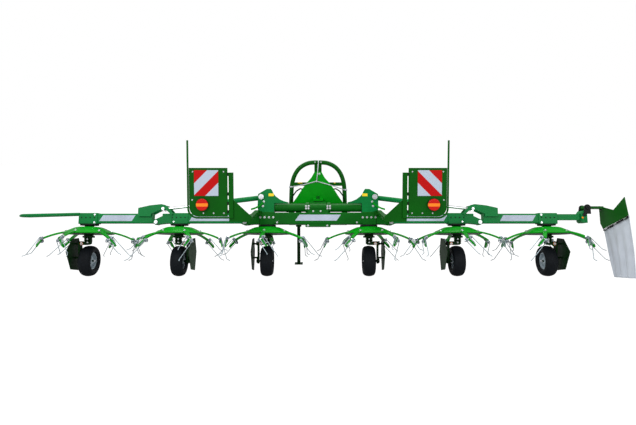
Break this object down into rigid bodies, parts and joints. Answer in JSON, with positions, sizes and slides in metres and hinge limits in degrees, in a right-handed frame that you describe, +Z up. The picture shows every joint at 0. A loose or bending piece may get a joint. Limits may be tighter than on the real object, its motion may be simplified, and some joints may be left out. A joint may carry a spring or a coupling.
{
  "type": "rotary hay tedder",
  "caption": "Tractor-mounted rotary hay tedder with coupled tined rotors on folding wings, gauge wheels, marker boards, a swing headstock and a side curtain.",
  "frame": {"origin": "middle of the overall box, on the ground", "axes": "+X to the right seen from behind, +Y the way of travel, +Z up; the drive shaft's line is at X 0.0865"},
  "size_m": [7.9616, 1.86, 1.815],
  "materials": {
    "beam_green": "as made",
    "dark_green": "as made",
    "rotor_green": "as made",
    "spring_steel": "as made",
    "tyre_rubber": "as made",
    "rim_silver": "as made",
    "board_red": "as made",
    "chrome_rod": "as made",
    "lamp_red": "as made",
    "sheet_grey": "as made",
    "black_cast": "as made"
  },
  "bodies": {
    "frame": {"centre_beam": "beam_green", "cross_tube": "beam_green", "input_drive": "black_cast", "swing_bracket": "beam_green", "wheel_leg_3": "dark_green", "wheel_leg_4": "dark_green", "tower_left": "beam_green", "board_carrier_left": "dark_green", "board_left": "dark_green", "chevron_square_left": "board_red", "lamp_left": "lamp_red", "tower_right": "beam_green", "board_carrier_right": "dark_green", "board_right": "dark_green", "chevron_square_right": "board_red", "lamp_right": "lamp_red"},
    "headstock": {"headstock": "dark_green", "headstock_base": "dark_green", "headstock_arms": "rotor_green"},
    "stand": {"parking_stand": "dark_green"},
    "inner_left": {"inner_beam_left": "beam_green", "wheel_leg_2": "dark_green"},
    "inner_right": {"inner_beam_right": "beam_green", "wheel_leg_5": "dark_green"},
    "outer_left": {"outer_beam_left": "dark_green", "wheel_leg_1": "dark_green", "guard_hoop": "beam_green"},
    "outer_right": {"outer_beam_right": "dark_green", "wheel_leg_6": "dark_green", "curtain_bracket": "beam_green"},
    "curtain_arm": {"curtain_arm": "dark_green", "curtain": "sheet_grey"},
    "barrel_left": {"barrel_left": "beam_green"},
    "piston_rod_left": {"piston_rod_left": "chrome_rod"},
    "barrel_right": {"barrel_right": "beam_green"},
    "piston_rod_right": {"piston_rod_right": "chrome_rod"},
    "rotor_1": {"rotor_1_arms": "rotor_green", "rotor_1_tines": "spring_steel"},
    "wheel_1": {"tyre_1": "tyre_rubber", "rim_1": "rim_silver"},
    "rotor_2": {"rotor_2_arms": "rotor_green", "rotor_2_tines": "spring_steel"},
    "wheel_2": {"tyre_2": "tyre_rubber", "rim_2": "rim_silver"},
    "rotor_3": {"rotor_3_arms": "rotor_green", "rotor_3_tines": "spring_steel"},
    "wheel_3": {"tyre_3": "tyre_rubber", "rim_3": "rim_silver"},
    "rotor_4": {"rotor_4_arms": "rotor_green", "rotor_4_tines": "spring_steel"},
    "wheel_4": {"tyre_4": "tyre_rubber", "rim_4": "rim_silver"},
    "rotor_5": {"rotor_5_arms": "rotor_green", "rotor_5_tines": "spring_steel"},
    "wheel_5": {"tyre_5": "tyre_rubber", "rim_5": "rim_silver"},
    "rotor_6": {"rotor_6_arms": "rotor_green", "rotor_6_tines": "spring_steel"},
    "wheel_6": {"tyre_6": "tyre_rubber", "rim_6": "rim_silver"}
  },
  "joints": [
    {"name": "inner_fold_left", "type": "hinge", "parent": "frame", "child": "inner_left", "pos_m": [-0.8985, 0.04256, 0.7212], "axis": [0, 0.9781, -0.2079], "range_deg": [0, 90]},
    {"name": "outer_fold_left", "type": "hinge", "parent": "inner_left", "child": "outer_left", "pos_m": [-2.0985, 0.0436, 0.72609], "axis": [0, 0.9781, -0.2079], "range_deg": [-4, 12]},
    {"name": "barrel_swing_left", "type": "hinge", "parent": "frame", "child": "barrel_left", "pos_m": [-0.6835, 0.11429, 1.05866], "axis": [0, 0.9781, -0.2079], "range_deg": [0, 94.64]},
    {"name": "rod_slide_left", "type": "slide", "parent": "barrel_left", "child": "piston_rod_left", "axis": [0.9928, 0.0249, 0.1173], "range_m": [0, 0.569]},
    {"name": "inner_fold_right", "type": "hinge", "parent": "frame", "child": "inner_right", "pos_m": [1.0715, 0.04256, 0.7212], "axis": [0, -0.9781, 0.2079], "range_deg": [0, 90]},
    {"name": "outer_fold_right", "type": "hinge", "parent": "inner_right", "child": "outer_right", "pos_m": [2.2715, 0.0436, 0.72609], "axis": [0, -0.9781, 0.2079], "range_deg": [-4, 12]},
    {"name": "barrel_swing_right", "type": "hinge", "parent": "frame", "child": "barrel_right", "pos_m": [0.8565, 0.11429, 1.05866], "axis": [0, -0.9781, 0.2079], "range_deg": [0, 94.64]},
    {"name": "rod_slide_right", "type": "slide", "parent": "barrel_right", "child": "piston_rod_right", "axis": [-0.9928, 0.0249, 0.1173], "range_m": [0, 0.569]},
    {"name": "headstock_swing", "type": "hinge", "parent": "frame", "child": "headstock", "pos_m": [0.0865, 0.384, 0.943], "axis": [0, 0, 1], "range_deg": [-12, 12]},
    {"name": "stand_lift", "type": "slide", "parent": "headstock", "child": "stand", "axis": [0, 0, 1], "range_m": [0, 0.28]},
    {"name": "curtain_fold", "type": "hinge", "parent": "outer_right", "child": "curtain_arm", "pos_m": [3.7365, 0.08519, 0.92172], "axis": [0, -0.9781, 0.2079], "range_deg": [0, 90]},
    {"name": "rotor_1_spin", "type": "hinge", "parent": "outer_left", "child": "rotor_1", "pos_m": [-3.0235, 0.0145, 0.58915], "axis": [0, 0.2079, 0.9781], "continuous": true},
    {"name": "wheel_1_spin", "type": "hinge", "parent": "outer_left", "child": "wheel_1", "pos_m": [-3.0235, 0.004, 0.205], "axis": [1, 0, 0], "continuous": true},
    {"name": "rotor_2_spin", "type": "hinge", "parent": "inner_left", "child": "rotor_2", "pos_m": [-1.7985, 0.0145, 0.58915], "axis": [0, 0.2079, 0.9781], "continuous": true},
    {"name": "wheel_2_spin", "type": "hinge", "parent": "inner_left", "child": "wheel_2", "pos_m": [-1.7985, 0.004, 0.205], "axis": [1, 0, 0], "continuous": true},
    {"name": "rotor_3_spin", "type": "hinge", "parent": "frame", "child": "rotor_3", "pos_m": [-0.6035, 0.0145, 0.58915], "axis": [0, 0.2079, 0.9781], "continuous": true},
    {"name": "wheel_3_spin", "type": "hinge", "parent": "frame", "child": "wheel_3", "pos_m": [-0.6035, 0.004, 0.205], "axis": [1, 0, 0], "continuous": true},
    {"name": "rotor_4_spin", "type": "hinge", "parent": "frame", "child": "rotor_4", "pos_m": [0.7765, 0.0145, 0.58915], "axis": [0, 0.2079, 0.9781], "continuous": true},
    {"name": "wheel_4_spin", "type": "hinge", "parent": "frame", "child": "wheel_4", "pos_m": [0.7765, 0.004, 0.205], "axis": [1, 0, 0], "continuous": true},
    {"name": "rotor_5_spin", "type": "hinge", "parent": "inner_right", "child": "rotor_5", "pos_m": [1.9715, 0.0145, 0.58915], "axis": [0, 0.2079, 0.9781], "continuous": true},
    {"name": "wheel_5_spin", "type": "hinge", "parent": "inner_right", "child": "wheel_5", "pos_m": [1.9715, 0.004, 0.205], "axis": [1, 0, 0], "continuous": true},
    {"name": "rotor_6_spin", "type": "hinge", "parent": "outer_right", "child": "rotor_6", "pos_m": [3.1965, 0.0145, 0.58915], "axis": [0, 0.2079, 0.9781], "continuous": true},
    {"name": "wheel_6_spin", "type": "hinge", "parent": "outer_right", "child": "wheel_6", "pos_m": [3.1965, 0.004, 0.205], "axis": [1, 0, 0], "continuous": true}
  ],
  "couplings": [
    {"joint": "barrel_swing_left", "follows": "inner_fold_left", "ratio": 1.0515},
    {"joint": "rod_slide_left", "follows": "inner_fold_left", "m_per_rad": 0.36226},
    {"joint": "barrel_swing_right", "follows": "inner_fold_right", "ratio": 1.0515},
    {"joint": "rod_slide_right", "follows": "inner_fold_right", "m_per_rad": 0.36226},
    {"joint": "rotor_2_spin", "follows": "rotor_1_spin", "ratio": -1},
    {"joint": "rotor_3_spin", "follows": "rotor_1_spin", "ratio": 1},
    {"joint": "rotor_4_spin", "follows": "rotor_1_spin", "ratio": -1},
    {"joint": "rotor_5_spin", "follows": "rotor_1_spin", "ratio": 1},
    {"joint": "rotor_6_spin", "follows": "rotor_1_spin", "ratio": -1}
  ]
}
